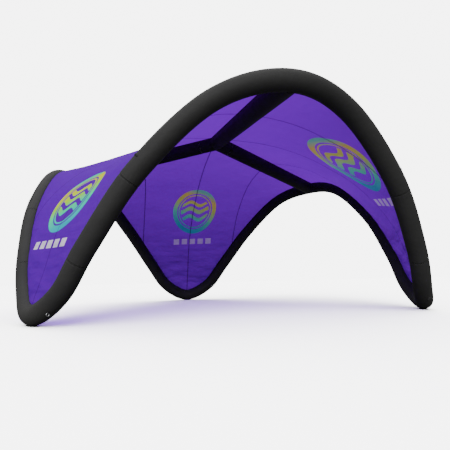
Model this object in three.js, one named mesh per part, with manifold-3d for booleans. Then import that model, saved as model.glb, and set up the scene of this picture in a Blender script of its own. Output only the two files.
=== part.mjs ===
// Three-legged inflatable event canopy: three air-tube arches share three U-shaped feet, three ridge
// tubes run from the arch tops to a central hub, and a domed fabric petal fills the space over each leg.
// Millimetres, +Z up, origin on the ground under the hub. The rear foot points along +Y.
import * as THREE from 'three';
import { mergeVertices } from 'three/addons/utils/BufferGeometryUtils.js';
import Module from 'manifold-3d';

// ---------------------------------------------------------------- driving dimensions
const FOOT_RADIUS = 3500;            // from the axis to the middle of each foot tube
const TUBE_RADIUS = 137;             // leg and arch tubes, outside
const RIDGE_RADIUS = 146;            // ridge tubes and hub, outside
const HUB_HEIGHT = 3307;             // middle of the hub
// One half leg, from the foot to the arch top: radius / FOOT_RADIUS, degrees round the axis, height.
const HALF_LEG = [
  [1.0, 0, 139],
  [0.984, 9.8, 418],
  [0.977, 17.3, 990],
  [0.963, 28.9, 1856],
  [0.95, 44.5, 2647],
  [0.9735, 60, 2861],
];
const LEG_AZIMUTH = { rear: 90, left: 210, right: 330 };
const ARCH_AFTER_LEG = { rear: 'left', left: 'front', right: 'right' };

const SLEEVE_WALL = 5;
const BLADDER_WALL = 3;
const BLADDER_FILL = 0.95;           // bladder radius as a part of the sleeve's inner radius
const FOOT_SEAM = 0.25;              // cross seams, as parts of a half leg from the foot
const ARCH_SEAM = 0.5;
const STEPS_PER_HALF_LEG = 16;
const SLEEVE_SIDES = 12;
const BLADDER_SIDES = 8;
const GAP = 0.4;                     // between pieces that touch

const HUB_ARM = 330;                 // from the hub's middle to the end of each arm
const BLADDER_HUB_GAP = 95;          // from the hub's middle to each ridge bladder

const CANOPY_THICKNESS = 4;
const CANOPY_CLEARANCE = 9;          // from a tube's surface to the middle of the fabric's edge
const RIDGE_EDGE_ANGLE = 50;         // fabric edge on a ridge tube, degrees from its top
const APEX_EDGE_ANGLE = 60;          // fabric edge on an arch tube at its top, degrees outwards
const EDGE_ANGLE_START = 0.3;        // where on the half leg the fabric edge starts to climb
const EDGE_ANGLE_POWER = 2.2;
const LOW_BULGE = 150;               // how far the lower half of a petal stands out
const HIGH_DIP = 45;                 // how far its upper half dips
const LEG_SEAM_AT = 7 / 16;          // side seam's lower end, as a part of the half leg
const RIDGE_SEAM_AT = 0.5;           // side seam's upper end, as a part of the ridge from the arch
const SEAM_HALF_GAP = 0.0004;        // half the gap between two gores, in petal coordinates
const GORE_CELLS = 8;

const PAD = { length: 300, width: 110, thickness: 5 };
const VALVE = { at: -0.1, angle: 155, flange: 32, flangeThickness: 4, neck: 20, bore: 13, depth: 24 };
const TAB = { at: 0.1, angle: 155, pivot: 14, width: 14, outer: 7.2, hole: 5.2, base: 44, web: 1.8 };
const RING = { radius: 18, wire: 2.5 };
const GUY = { at: 0.56, angle: 90, arc: 50, width: 25, thickness: 2 };

// ---------------------------------------------------------------- materials
const material = (color, roughness, metalness = 0) => new THREE.MeshStandardMaterial({ color, roughness, metalness });
const tubeCloth = material(0x242426, 0.7);
const bladderFilm = material(0xc9cdd0, 0.35);
const petalCloth = material(0x4a1fa6, 0.6);
const soleRubber = material(0x141415, 0.85);
const valvePlastic = material(0x1b1b1c, 0.45);
const plungerPlastic = material(0x9a9da0, 0.5);
const webbing = material(0x101011, 0.9);
const steel = material(0xb9bcc0, 0.3, 1);

// ---------------------------------------------------------------- solids
const wasm = await Module();
wasm.setup();

const signedVolume = (geometry) => {
  const position = geometry.getAttribute('position');
  const index = geometry.index.array;
  const [a, b, c] = [new THREE.Vector3(), new THREE.Vector3(), new THREE.Vector3()];
  let volume = 0;
  for (let i = 0; i < index.length; i += 3) {
    a.fromBufferAttribute(position, index[i]);
    b.fromBufferAttribute(position, index[i + 1]);
    c.fromBufferAttribute(position, index[i + 2]);
    volume += a.dot(b.cross(c)) / 6;
  }
  return volume;
};

// Position-only, merged and facing outwards.
const closedGeometry = (geometry) => {
  const bare = geometry.clone();
  bare.deleteAttribute('normal');
  bare.deleteAttribute('uv');
  const merged = mergeVertices(bare, 1e-3);
  if (signedVolume(merged) < 0) merged.index.array.reverse();
  return merged;
};

const solid = (geometry) => {
  const closed = closedGeometry(geometry);
  return new wasm.Manifold(new wasm.Mesh({
    numProp: 3,
    vertProperties: new Float32Array(closed.getAttribute('position').array),
    triVerts: new Uint32Array(closed.index.array),
  }));
};

const geometryOf = (manifold) => {
  const mesh = manifold.getMesh();
  const geometry = new THREE.BufferGeometry();
  geometry.setAttribute('position', new THREE.BufferAttribute(mesh.vertProperties, 3));
  geometry.setIndex(new THREE.BufferAttribute(mesh.triVerts, 1));
  return geometry;
};

const polygon = (radius, sides) => new THREE.Shape(
  Array.from({ length: sides }, (_, i) => {
    const angle = (2 * Math.PI * i) / sides;
    return new THREE.Vector2(radius * Math.cos(angle), radius * Math.sin(angle));
  }),
);

const sweep = (shape, path, steps) => new THREE.ExtrudeGeometry(shape, { steps, extrudePath: path, bevelEnabled: false });

const box = (x0, x1, y0, y1, z0, z1) => {
  const geometry = new THREE.BoxGeometry(x1 - x0, y1 - y0, z1 - z0);
  return solid(geometry.translate((x0 + x1) / 2, (y0 + y1) / 2, (z0 + z1) / 2));
};

// A cylinder along Z or Y, centred on (x, y, z).
const cylinder = (radius, length, [x, y, z], along = 'z', sides = 16) => {
  const geometry = new THREE.CylinderGeometry(radius, radius, length, sides);
  if (along === 'z') geometry.rotateX(Math.PI / 2);
  return solid(geometry.translate(x, y, z));
};

const lathe = (profile, sides) => {
  const points = profile.map(([radius, height]) => new THREE.Vector2(radius, height));
  return new THREE.LatheGeometry(points, sides).rotateX(Math.PI / 2);
};

// ---------------------------------------------------------------- the tube loop
// Points of one leg with its foot on +X, from the foot to the arch top at 60 degrees.
const polar = (radius, degrees, height) => {
  const angle = THREE.MathUtils.degToRad(degrees);
  return new THREE.Vector3(radius * Math.cos(angle), radius * Math.sin(angle), height);
};

const loopPoints = [];
for (const turn of [0, 120, 240]) {
  for (const [radius, degrees, height] of HALF_LEG) {
    loopPoints.push(polar(radius * FOOT_RADIUS, turn + degrees, height));
  }
  for (const [radius, degrees, height] of HALF_LEG.slice(1, -1).reverse()) {
    loopPoints.push(polar(radius * FOOT_RADIUS, turn + 120 - degrees, height));
  }
}
const loop = new THREE.CatmullRomCurve3(loopPoints, true, 'catmullrom', 0.5);
loop.arcLengthDivisions = 1200;
const halfLeg = loop.getLength() / 6;

// s counts half legs from the foot: 0 is the foot, 1 the next arch top, -1 the one before.
const onLoop = (s) => loop.getPointAt(THREE.MathUtils.euclideanModulo(s / 6, 1));

class LoopSpan extends THREE.Curve {
  constructor(from, to) {
    super();
    this.from = from;
    this.to = to;
  }

  getPoint(t, target = new THREE.Vector3()) {
    return target.copy(onLoop(this.from + (this.to - this.from) * t));
  }
}

const loopTube = (from, to, radius, sides) => {
  const steps = Math.max(2, Math.round((to - from) * STEPS_PER_HALF_LEG));
  return solid(sweep(polygon(radius, sides), new LoopSpan(from, to), steps));
};

// Axes of the loop tube at s: along it, outwards through the fabric's surface, and towards the fabric.
const apexHeight = HALF_LEG.at(-1)[2];
const footHeight = HALF_LEG[0][2];
const loopAxes = (s) => {
  const step = 1e-3;
  const centre = onLoop(s);
  const along = onLoop(s + step).sub(onLoop(s - step)).normalize();
  const lift = THREE.MathUtils.degToRad(82 * (centre.z - footHeight) / (apexHeight - footHeight));
  const radial = new THREE.Vector3(centre.x, centre.y, 0).normalize();
  const outward = radial.multiplyScalar(Math.cos(lift)).add(new THREE.Vector3(0, 0, Math.sin(lift)));
  outward.addScaledVector(along, -outward.dot(along)).normalize();
  const inward = new THREE.Vector3().crossVectors(outward, along);
  return { centre, along, outward, inward };
};

const aroundLoop = (s, degrees) => {
  const { centre, along, outward, inward } = loopAxes(s);
  const angle = THREE.MathUtils.degToRad(degrees);
  const normal = inward.clone().multiplyScalar(Math.cos(angle)).addScaledVector(outward, Math.sin(angle));
  return { centre, along, normal };
};

// ---------------------------------------------------------------- tube covers and bladders
const aboveFloor = (manifold, height) => {
  const reach = 2 * FOOT_RADIUS;
  return manifold.intersect(box(-reach, reach, -reach, reach, height, 2 * HUB_HEIGHT));
};

const floorOfSleeve = PAD.thickness + GAP;
const seamGap = GAP / 2 / halfLeg;
const overrun = 0.003;
const sleeve = (from, to, floor) => {
  const outer = aboveFloor(loopTube(from + seamGap, to - seamGap, TUBE_RADIUS, SLEEVE_SIDES), floor);
  const inner = loopTube(from - overrun, to + overrun, TUBE_RADIUS - SLEEVE_WALL, SLEEVE_SIDES);
  return outer.subtract(aboveFloor(inner, floor + SLEEVE_WALL));
};

const frameAt = (origin, xAxis, zAxis) => {
  const z = zAxis.clone().normalize();
  const x = xAxis.clone().addScaledVector(z, -xAxis.dot(z)).normalize();
  const y = new THREE.Vector3().crossVectors(z, x);
  return new THREE.Matrix4().makeBasis(x, y, z).setPosition(origin);
};

const surfaceFrame = ({ at, angle }, lift) => {
  const { centre, along, normal } = aroundLoop(at, angle);
  return frameAt(centre.clone().addScaledVector(normal, TUBE_RADIUS + lift), along, normal);
};

const placedSolid = (geometry, matrix) => solid(geometry.clone().applyMatrix4(matrix));

const valveFrame = surfaceFrame(VALVE, 0.6);
const neckHole = placedSolid(
  new THREE.CylinderGeometry(VALVE.neck + 0.8, VALVE.neck + 0.8, 120, 20).rotateX(Math.PI / 2),
  valveFrame,
);

const bladderRadius = (TUBE_RADIUS - SLEEVE_WALL) * BLADDER_FILL;
const bladderEnd = 1 - 6 / halfLeg;
const bladderCap = 8 / halfLeg;
const legBladder = () => {
  const floor = floorOfSleeve + SLEEVE_WALL + 1.5;
  const outer = aboveFloor(loopTube(-bladderEnd, bladderEnd, bladderRadius, BLADDER_SIDES), floor);
  const reach = bladderEnd - bladderCap;
  const inner = loopTube(-reach, reach, bladderRadius - BLADDER_WALL, BLADDER_SIDES);
  return outer.subtract(aboveFloor(inner, floor + BLADDER_WALL)).subtract(neckHole);
};

// ---------------------------------------------------------------- ridge and hub
const apex = onLoop(1);
const hub = new THREE.Vector3(0, 0, HUB_HEIGHT);
const ridgeDirection = apex.clone().sub(hub).normalize();
const ridgeLength = apex.distanceTo(hub);
const onRidge = (distance, azimuth = 60) => {
  const point = hub.clone().addScaledVector(ridgeDirection, distance);
  return point.applyAxisAngle(new THREE.Vector3(0, 0, 1), THREE.MathUtils.degToRad(azimuth - 60));
};
const ridgeTube = (from, to, radius, sides, azimuth = 60) => {
  const path = new THREE.LineCurve3(onRidge(from, azimuth), onRidge(to, azimuth));
  return solid(sweep(polygon(radius, sides), path, 2));
};

const archSolid = loopTube(ARCH_SEAM + seamGap, 2 - ARCH_SEAM - seamGap, TUBE_RADIUS + GAP, SLEEVE_SIDES);
const ridgeSleeve = () => {
  const outer = ridgeTube(HUB_ARM + GAP, ridgeLength, RIDGE_RADIUS, SLEEVE_SIDES);
  const inner = ridgeTube(HUB_ARM - 3, ridgeLength + 3, RIDGE_RADIUS - SLEEVE_WALL, SLEEVE_SIDES);
  return outer.subtract(inner).subtract(archSolid);
};

const ridgeBladderRadius = (RIDGE_RADIUS - SLEEVE_WALL) * BLADDER_FILL;
const ridgeBladder = () => {
  const end = ridgeLength - TUBE_RADIUS - 12;
  const outer = ridgeTube(BLADDER_HUB_GAP, end, ridgeBladderRadius, BLADDER_SIDES);
  const inner = ridgeTube(BLADDER_HUB_GAP + BLADDER_WALL, end - BLADDER_WALL, ridgeBladderRadius - BLADDER_WALL, BLADDER_SIDES);
  // The filling port in the end that meets the arch.
  return outer.subtract(inner).subtract(ridgeTube(end - 20, end + 20, 9, 8));
};

// The arms run a little past the middle, so that the three of them close over it.
const hubSleeve = () => {
  const past = 45;
  const arms = Object.values(LEG_AZIMUTH).map((leg) => leg + 60);
  const star = (from, to, radius) => arms
    .map((azimuth) => ridgeTube(from, to, radius, SLEEVE_SIDES, azimuth))
    .reduce((whole, arm) => whole.add(arm));
  const outer = star(-past, HUB_ARM, RIDGE_RADIUS);
  return outer.subtract(star(SLEEVE_WALL - past, HUB_ARM + 5, RIDGE_RADIUS - SLEEVE_WALL));
};

// ---------------------------------------------------------------- petals
// A petal is a four-sided patch: foot, arch top on the +Y side, hub, arch top on the -Y side.
const mirrored = (point) => new THREE.Vector3(point.x, -point.y, point.z);

const ridgeOffset = () => {
  const angle = THREE.MathUtils.degToRad(RIDGE_EDGE_ANGLE);
  const side = polar(1, 60 - 90, 0);
  const up = new THREE.Vector3().crossVectors(ridgeDirection, side).normalize();
  if (up.z < 0) up.negate();
  const reach = RIDGE_RADIUS + CANOPY_CLEARANCE;
  return side.multiplyScalar(reach * Math.sin(angle)).addScaledVector(up, reach * Math.cos(angle));
};
const edgeOffset = ridgeOffset();
const lastOnLeg = 1 - (RIDGE_RADIUS + CANOPY_CLEARANCE) * Math.sin(THREE.MathUtils.degToRad(RIDGE_EDGE_ANGLE)) / halfLeg;

const legEdge = (t) => {
  const s = t * lastOnLeg;
  const climb = Math.max(0, (s - EDGE_ANGLE_START) / (1 - EDGE_ANGLE_START)) ** EDGE_ANGLE_POWER;
  const { centre, normal } = aroundLoop(s, APEX_EDGE_ANGLE * climb);
  return centre.clone().addScaledVector(normal, TUBE_RADIUS + CANOPY_CLEARANCE);
};

const footCorner = legEdge(0);
const archCorner = legEdge(1);
const hubCornerDistance = -edgeOffset.y / ridgeDirection.y;
const hubCorner = hub.clone().addScaledVector(ridgeDirection, hubCornerDistance).add(edgeOffset);
const ridgeEdge = (t) => archCorner.clone().lerp(hubCorner, t);
const domeCentre = new THREE.Vector3(0, 0, 700);
const outwardAt = (point) => point.clone().sub(domeCentre).normalize();

const petalPoint = (u, v) => {
  const point = new THREE.Vector3();
  point.addScaledVector(legEdge(u), 1 - v);
  point.addScaledVector(mirrored(ridgeEdge(u)), v);
  point.addScaledVector(mirrored(legEdge(v)), 1 - u);
  point.addScaledVector(ridgeEdge(v), u);
  point.addScaledVector(footCorner, -(1 - u) * (1 - v));
  point.addScaledVector(archCorner, -u * (1 - v));
  point.addScaledVector(mirrored(archCorner), -(1 - u) * v);
  point.addScaledVector(hubCorner, -u * v);
  const sum = u + v;
  const halfWidth = Math.min(sum, 2 - sum);
  if (halfWidth < 1e-6) return point;
  const across = 1 - ((u - v) / halfWidth) ** 2;
  const depth = sum < 1 ? LOW_BULGE : HIGH_DIP;
  return point.addScaledVector(outwardAt(point), depth * Math.sin(Math.PI * sum) * across);
};

// A sheet of even thickness over a grid of rows; row i has the points (u, v) of rows[i].
const sheet = (rows, flip) => {
  const middle = rows.flat().map(([u, v]) => (flip ? petalPoint(v, u) : petalPoint(u, v)));
  const first = [];
  rows.reduce((count, row, i) => {
    first[i] = count;
    return count + row.length;
  }, 0);
  const faces = [];
  for (let i = 0; i + 1 < rows.length; i += 1) {
    const [low, high] = [rows[i].length, rows[i + 1].length];
    for (let j = 0; j + 1 < Math.max(low, high); j += 1) {
      const [a, b] = [first[i] + j, first[i + 1] + j];
      if (low < high) {
        faces.push([a, b, b + 1]);
        if (j + 1 < low) faces.push([a, b + 1, a + 1]);
      } else {
        faces.push([a, b, b + 1], [a, b + 1, a + 1]);
      }
    }
  }
  const count = middle.length;
  const positions = [];
  for (const side of [1, -1]) {
    for (const point of middle) {
      positions.push(...point.clone().addScaledVector(outwardAt(point), side * CANOPY_THICKNESS / 2).toArray());
    }
  }
  const index = [];
  const edges = new Map();
  for (const [a, b, c] of faces) {
    index.push(a, b, c, count + a, count + c, count + b);
    for (const [from, to] of [[a, b], [b, c], [c, a]]) {
      if (!edges.delete(`${to},${from}`)) edges.set(`${from},${to}`, [from, to]);
    }
  }
  for (const [from, to] of edges.values()) {
    index.push(from, count + from, to, to, count + from, count + to);
  }
  const geometry = new THREE.BufferGeometry();
  geometry.setAttribute('position', new THREE.Float32BufferAttribute(positions, 3));
  geometry.setIndex(index);
  return closedGeometry(geometry);
};

const mix = (a, b, t) => [a[0] + (b[0] - a[0]) * t, a[1] + (b[1] - a[1]) * t];
const e = SEAM_HALF_GAP;

const centreGore = (flip) => {
  const along = Math.round(LEG_SEAM_AT * STEPS_PER_HALF_LEG);
  const rows = [];
  for (let j = 0; j <= GORE_CELLS; j += 1) {
    const t = j / GORE_CELLS;
    const middle = [Math.min(1, t + e), Math.max(0, t - e)];
    const seam = mix([LEG_SEAM_AT, 0], [1, RIDGE_SEAM_AT], t);
    rows.push(Array.from({ length: along + 1 }, (_, i) => mix(middle, seam, i / along)));
  }
  return sheet(rows, flip);
};

const shoulderGore = (flip) => {
  const rows = [];
  for (let i = 0; i <= GORE_CELLS; i += 1) {
    const t = i / GORE_CELLS;
    const onLeg = [1 - (1 - LEG_SEAM_AT - 2 * e) * t, 0];
    const onRidgeEdge = [1, (RIDGE_SEAM_AT - 2 * e) * t];
    rows.push(Array.from({ length: i + 1 }, (_, j) => (i ? mix(onLeg, onRidgeEdge, j / i) : [1, 0])));
  }
  return sheet(rows, flip);
};

// ---------------------------------------------------------------- foot hardware
const footPad = () => {
  const outline = new THREE.Shape();
  const [half, radius] = [PAD.length / 2 - PAD.width / 2, PAD.width / 2];
  outline.absarc(0, half, radius, 0, Math.PI);
  outline.absarc(0, -half, radius, Math.PI, 2 * Math.PI);
  const geometry = new THREE.ExtrudeGeometry(outline, { depth: PAD.thickness, bevelEnabled: false, curveSegments: 8 });
  return geometry.translate(FOOT_RADIUS, 0, 0);
};

// Valve pieces stand on the tube: Z points out of it and X runs along it.
const HINGE = { x: -38, z: 7, pin: 2, knuckle: 4.5, knuckleWidth: 13, post: 3 };
const GUIDE = { hole: 4.7, top: -8, bottom: -12 };

const valveBody = () => {
  const { flange, flangeThickness, neck, bore, depth } = VALVE;
  let body = solid(lathe([
    [neck, 0], [flange, 0], [flange, flangeThickness], [bore, flangeThickness], [bore, GUIDE.top],
    [GUIDE.hole, GUIDE.top], [GUIDE.hole, GUIDE.bottom], [bore, GUIDE.bottom], [bore, -depth],
    [neck, -depth], [neck, 0],
  ], 24));
  const ventRadius = (bore + GUIDE.hole) / 2;
  for (let k = 0; k < 4; k += 1) {
    const angle = (k + 0.5) * Math.PI / 2;
    const place = [ventRadius * Math.cos(angle), ventRadius * Math.sin(angle), (GUIDE.top + GUIDE.bottom) / 2];
    body = body.subtract(cylinder(2.6, 8, place, 'z', 8));
  }
  const inner = HINGE.knuckleWidth / 2 + 1;
  for (const side of [1, -1]) {
    const [near, far] = [side * inner, side * (inner + HINGE.post)];
    body = body.add(box(HINGE.x - 4, 0.4 - VALVE.flange, Math.min(near, far), Math.max(near, far), 0, 10));
    body = body.add(box(0.4 - VALVE.flange - 1, -28, Math.min(near, far), Math.max(near, far), 0, flangeThickness));
  }
  return body.add(cylinder(HINGE.pin, 2 * inner + HINGE.post, [HINGE.x, 0, HINGE.z], 'y', 12));
};

const valvePlunger = () => lathe([
  [0, 0], [7, 0], [7, -2.6], [4, -2.6], [4, -VALVE.depth - 0.5],
  [17, -VALVE.depth - 0.5], [17, -VALVE.depth - 3.5], [0, -VALVE.depth - 3.5],
], 16);

const valveCap = () => {
  const low = VALVE.flangeThickness + 0.5;
  const cap = solid(lathe([
    [0, low - 3], [11.5, low - 3], [11.5, low], [30, low], [30, low + 3.5], [28, low + 4.5], [0, low + 4.5],
  ], 24));
  const half = HINGE.knuckleWidth / 2;
  const knuckle = cylinder(HINGE.knuckle, HINGE.knuckleWidth, [HINGE.x, 0, HINGE.z], 'y', 12);
  const arm = box(HINGE.x, -27, -half, half, low, low + 3.5);
  return cap.add(arm).add(knuckle).subtract(cylinder(HINGE.pin + 0.5, 40, [HINGE.x, 0, HINGE.z], 'y', 12));
};

const tabFrame = surfaceFrame(TAB, 0.6);
const ringTab = () => {
  const half = TAB.width / 2;
  const base = box(-TAB.base / 2, TAB.base / 2, -half, half, 0, TAB.web);
  const stem = box(-TAB.web, TAB.web, -half, half, TAB.web / 2, TAB.pivot - TAB.hole);
  const eye = cylinder(TAB.outer, TAB.width, [0, 0, TAB.pivot], 'y', 16);
  return base.add(stem).add(eye).subtract(cylinder(TAB.hole, TAB.width + 4, [0, 0, TAB.pivot], 'y', 16));
};

// The ring hangs from the tab's eye: its wire runs along the eye, and it hangs straight down.
const eyeAxis = new THREE.Vector3();
const tabOut = new THREE.Vector3();
tabFrame.extractBasis(new THREE.Vector3(), eyeAxis, tabOut);
const eyeCentre = new THREE.Vector3().setFromMatrixPosition(tabFrame).addScaledVector(tabOut, TAB.pivot);
const hangDown = new THREE.Vector3(0, 0, -1).addScaledVector(eyeAxis, eyeAxis.z).normalize();
const ringFrame = new THREE.Matrix4().makeBasis(eyeAxis, hangDown, new THREE.Vector3().crossVectors(eyeAxis, hangDown))
  .setPosition(eyeCentre.clone().addScaledVector(hangDown, RING.radius));
const tieRing = () => new THREE.TorusGeometry(RING.radius, RING.wire, 8, 20);

const guyStrap = () => {
  const [inner, outer] = [TUBE_RADIUS + 0.6, TUBE_RADIUS + 0.6 + GUY.thickness];
  const half = THREE.MathUtils.degToRad(GUY.arc / 2);
  const outline = new THREE.Shape();
  outline.absarc(0, 0, outer, Math.PI / 2 - half, Math.PI / 2 + half);
  outline.absarc(0, 0, inner, Math.PI / 2 + half, Math.PI / 2 - half, true);
  const geometry = new THREE.ExtrudeGeometry(outline, { depth: GUY.width, bevelEnabled: false, curveSegments: 5 });
  // The extrusion runs along the tube and the strap's middle points out of it.
  return geometry.translate(0, 0, -GUY.width / 2);
};
const guyFrame = (side) => {
  const { centre, along, normal } = aroundLoop(side * GUY.at, GUY.angle);
  const across = new THREE.Vector3().crossVectors(normal, along);
  return new THREE.Matrix4().makeBasis(across, normal, along).setPosition(centre);
};

// ---------------------------------------------------------------- the canopy
const canopy = new THREE.Group();

const addMesh = (parent, name, geometry, look, matrix) => {
  const mesh = new THREE.Mesh(geometry, look);
  mesh.name = name;
  if (matrix) matrix.decompose(mesh.position, mesh.quaternion, mesh.scale);
  parent.add(mesh);
};

const footSleeveGeometry = geometryOf(sleeve(-FOOT_SEAM, FOOT_SEAM, floorOfSleeve).subtract(neckHole));
const legSleeveA = geometryOf(sleeve(FOOT_SEAM, ARCH_SEAM, floorOfSleeve));
const legSleeveB = geometryOf(sleeve(-ARCH_SEAM, -FOOT_SEAM, floorOfSleeve));
const archSleeveGeometry = geometryOf(sleeve(ARCH_SEAM, 2 - ARCH_SEAM, floorOfSleeve));
const legBladderGeometry = geometryOf(legBladder());
const ridgeSleeveGeometry = geometryOf(ridgeSleeve());
const ridgeBladderGeometry = geometryOf(ridgeBladder());
const gores = {
  centre_a: centreGore(false),
  centre_b: centreGore(true),
  shoulder_a: shoulderGore(false),
  shoulder_b: shoulderGore(true),
};
const padGeometry = closedGeometry(footPad());
const bodyGeometry = geometryOf(valveBody());
const plungerGeometry = closedGeometry(valvePlunger());
const capGeometry = geometryOf(valveCap());
const tabGeometry = geometryOf(ringTab());
const ringGeometry = closedGeometry(tieRing());
const strapGeometry = closedGeometry(guyStrap());

for (const [leg, azimuth] of Object.entries(LEG_AZIMUTH)) {
  const arch = ARCH_AFTER_LEG[leg];
  const third = new THREE.Group();
  third.rotation.z = THREE.MathUtils.degToRad(azimuth);
  canopy.add(third);
  addMesh(third, `foot_sleeve_${leg}`, footSleeveGeometry, tubeCloth);
  addMesh(third, `leg_sleeve_${leg}_a`, legSleeveA, tubeCloth);
  addMesh(third, `leg_sleeve_${leg}_b`, legSleeveB, tubeCloth);
  addMesh(third, `arch_sleeve_${arch}`, archSleeveGeometry, tubeCloth);
  addMesh(third, `leg_bladder_${leg}`, legBladderGeometry, bladderFilm);
  addMesh(third, `ridge_sleeve_${arch}`, ridgeSleeveGeometry, tubeCloth);
  addMesh(third, `ridge_bladder_${arch}`, ridgeBladderGeometry, bladderFilm);
  for (const [gore, geometry] of Object.entries(gores)) {
    addMesh(third, `canopy_${leg}_${gore}`, geometry, petalCloth);
  }
  addMesh(third, `foot_pad_${leg}`, padGeometry, soleRubber);
  addMesh(third, `valve_body_${leg}`, bodyGeometry, valvePlastic, valveFrame);
  addMesh(third, `valve_plunger_${leg}`, plungerGeometry, plungerPlastic, valveFrame);
  addMesh(third, `valve_cap_${leg}`, capGeometry, valvePlastic, valveFrame);
  addMesh(third, `ring_tab_${leg}`, tabGeometry, webbing, tabFrame);
  addMesh(third, `tie_ring_${leg}`, ringGeometry, steel, ringFrame);
  addMesh(third, `guy_strap_${leg}_a`, strapGeometry, webbing, guyFrame(1));
  addMesh(third, `guy_strap_${leg}_b`, strapGeometry, webbing, guyFrame(-1));
}
addMesh(canopy, 'hub_sleeve', geometryOf(hubSleeve()), tubeCloth);

export default canopy;
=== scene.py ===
"""Looks for the three-legged inflatable canopy: smooth tube covers, sewn petals, valves, rings and loops."""

import math

import bpy
import numpy as np
from mathutils import Matrix, Vector


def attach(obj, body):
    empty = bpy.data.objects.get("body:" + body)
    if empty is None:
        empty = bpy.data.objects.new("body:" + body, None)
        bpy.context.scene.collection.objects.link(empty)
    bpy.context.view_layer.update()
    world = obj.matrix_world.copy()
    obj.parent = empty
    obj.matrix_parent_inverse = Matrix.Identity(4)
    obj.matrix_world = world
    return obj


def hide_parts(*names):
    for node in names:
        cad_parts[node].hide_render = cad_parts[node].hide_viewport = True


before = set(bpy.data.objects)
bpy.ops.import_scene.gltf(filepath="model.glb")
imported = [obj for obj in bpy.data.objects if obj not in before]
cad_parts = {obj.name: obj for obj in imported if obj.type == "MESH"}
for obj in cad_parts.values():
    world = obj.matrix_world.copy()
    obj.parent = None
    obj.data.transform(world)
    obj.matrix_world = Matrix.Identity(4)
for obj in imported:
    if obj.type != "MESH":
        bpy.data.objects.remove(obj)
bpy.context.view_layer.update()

# ---------------------------------------------------------------- sizes in metres and degrees, as in the CAD
FOOT_RADIUS = 3.5
TUBE_RADIUS = 0.137
RIDGE_RADIUS = 0.146
HUB_HEIGHT = 3.307
# Centre line of half a leg: radius as a share of FOOT_RADIUS, degrees from the foot, and height.
HALF_LEG = (
    (1.0, 0, 0.139),
    (0.984, 9.8, 0.418),
    (0.977, 17.3, 0.990),
    (0.963, 28.9, 1.856),
    (0.95, 44.5, 2.647),
    (0.9735, 60, 2.861),
)
LEG_AZIMUTH = {"rear": 90, "left": 210, "right": 330}
ARCH_AFTER_LEG = {"rear": "left", "left": "front", "right": "right"}
# Places on the loop are in half legs from the foot: 0 is the foot and 1 the arch top.
FOOT_SEAM = 0.25
ARCH_SEAM = 0.5
HUB_ARM = 0.33
FLOOR_OF_SLEEVE = 0.0054
RIDGE_EDGE_ANGLE = 50
APEX_EDGE_ANGLE = 60
EDGE_ANGLE_START = 0.3
EDGE_ANGLE_POWER = 2.2
LOW_BULGE = 0.150
HIGH_DIP = 0.045
LEG_SEAM_AT = 7 / 16
RIDGE_SEAM_AT = 0.5
VALVE_AT, VALVE_ANGLE = -0.1, 155
TAB_AT, TAB_ANGLE, TAB_PIVOT = 0.1, 155, 0.014
RING_RADIUS, RING_WIRE = 0.018, 0.0025
GUY_AT, GUY_ANGLE = 0.56, 90
BARS_BELOW, BAR_PITCH = 0.655, 0.19
LIFT_AT_ARCH_TOP = 82
# The covers are this much thinner than the CAD's sleeves, which leaves room for their ripples.
COVER_IN = 0.0015
STITCH = 0.009
DARK_GREY, GREY = (0.021, 0.021, 0.0215, 1), (0.032, 0.032, 0.031, 1)
# Painted shade for the tucked ends of the tube covers.
PAINTED_FOLD_SHADE = (0.002, 0.002, 0.002, 1)
HEM = (0.010, 0.008, 0.013, 1)


# ---------------------------------------------------------------- camera
def make_camera():
    forward = Vector((0.2333, 0.9629, 0.1358)).normalized()
    right = forward.cross(Vector((0, 0, 1))).normalized()
    up = right.cross(forward)
    roll = math.radians(-1.1227)
    across = right * math.cos(roll) + up * math.sin(roll)
    upward = up * math.cos(roll) - right * math.sin(roll)
    data = bpy.data.cameras.new("camera")
    data.sensor_width = 36
    data.lens = 31.11
    data.shift_x = 0.0392
    data.shift_y = 0.0012
    data.clip_end = 200
    camera = bpy.data.objects.new("camera", data)
    turn = Matrix((across, upward, -forward)).transposed().to_4x4()
    camera.matrix_world = Matrix.Translation((-2.006, -7.353, 0.569)) @ turn
    bpy.context.collection.objects.link(camera)
    bpy.context.scene.camera = camera


make_camera()


# ---------------------------------------------------------------- the tube loop
def loop_control_points():
    points = []
    for turn in (0, 120, 240):
        half = [(r, turn + a, z) for r, a, z in HALF_LEG]
        back = [(r, turn + 120 - a, z) for r, a, z in reversed(HALF_LEG[1:-1])]
        for r, a, z in half + back:
            angle = math.radians(a)
            points.append((r * FOOT_RADIUS * math.cos(angle), r * FOOT_RADIUS * math.sin(angle), z))
    return np.array(points)


CONTROL = loop_control_points()


def spline(t):
    """Points of the closed Catmull-Rom spline; t runs from 0 to 1 over the whole loop."""
    count = len(CONTROL)
    x = np.mod(np.asarray(t, float), 1.0) * count
    i = np.floor(x).astype(int) % count
    w = (x - np.floor(x))[..., None]
    p0, p1, p2, p3 = (CONTROL[(i + k) % count] for k in (-1, 0, 1, 2))
    return 0.5 * (
        2 * p1 + (p2 - p0) * w + (2 * p0 - 5 * p1 + 4 * p2 - p3) * w**2 + (3 * p1 - p0 - 3 * p2 + p3) * w**3
    )


FINE_T = np.linspace(0, 1, 7201)
FINE_LENGTH = np.concatenate([[0], np.cumsum(np.linalg.norm(np.diff(spline(FINE_T), axis=0), axis=1))])
HALF_LENGTH = FINE_LENGTH[-1] / 6


def on_loop(s):
    """Centre of the loop tube s half legs from the foot on +X: 0 is the foot, 1 the next arch top."""
    share = np.mod(np.asarray(s, float) / 6, 1.0)
    return spline(np.interp(share * FINE_LENGTH[-1], FINE_LENGTH, FINE_T))


def unit(v):
    return v / np.linalg.norm(v, axis=-1, keepdims=True)


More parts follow.
